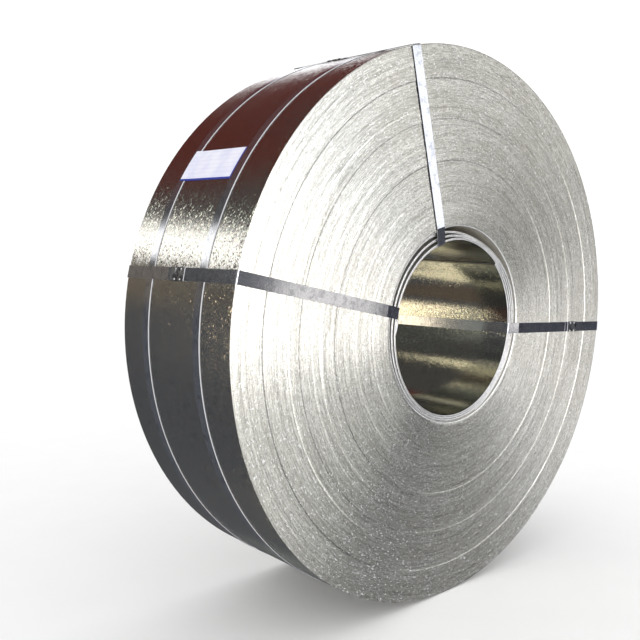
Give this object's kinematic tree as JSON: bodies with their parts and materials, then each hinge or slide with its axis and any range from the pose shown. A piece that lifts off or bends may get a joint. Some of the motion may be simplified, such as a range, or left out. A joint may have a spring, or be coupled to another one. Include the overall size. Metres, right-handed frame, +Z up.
{
  "type": "galvanised steel strip coil",
  "caption": "Slit coil of galvanised steel strip lying on its side, bound by steel hoop straps and by straps through the bore, with crimped seals and a blank label.",
  "frame": {"origin": "on the floor under the middle of the coil, which lies on its side", "axes": "Y is the coil's axis, -Y is the front end that the straps and the seal show on, +Z is up"},
  "size_m": [1.5825, 0.4869, 1.5802],
  "materials": {
    "galvanised_strip": "hot-dip galvanised strip, small spangle, bright sheared edges on the ends",
    "strap_steel": "smooth cool grey steel strapping with bright cut edges",
    "seal_steel": "crimped steel sleeve, dull grey",
    "label_paper": "plain pale paper label, left blank"
  },
  "bodies": {
    "root": {"strip_coil": "galvanised_strip", "hoop_strap_front": "strap_steel", "hoop_strap_rear": "strap_steel", "eye_strap_left": "strap_steel", "eye_strap_top": "strap_steel", "eye_strap_right": "strap_steel", "hoop_seal_front": "seal_steel", "hoop_seal_rear": "seal_steel", "eye_seal_left": "seal_steel", "eye_seal_top": "seal_steel", "eye_seal_right": "seal_steel", "label": "label_paper"}
  },
  "joints": []
}
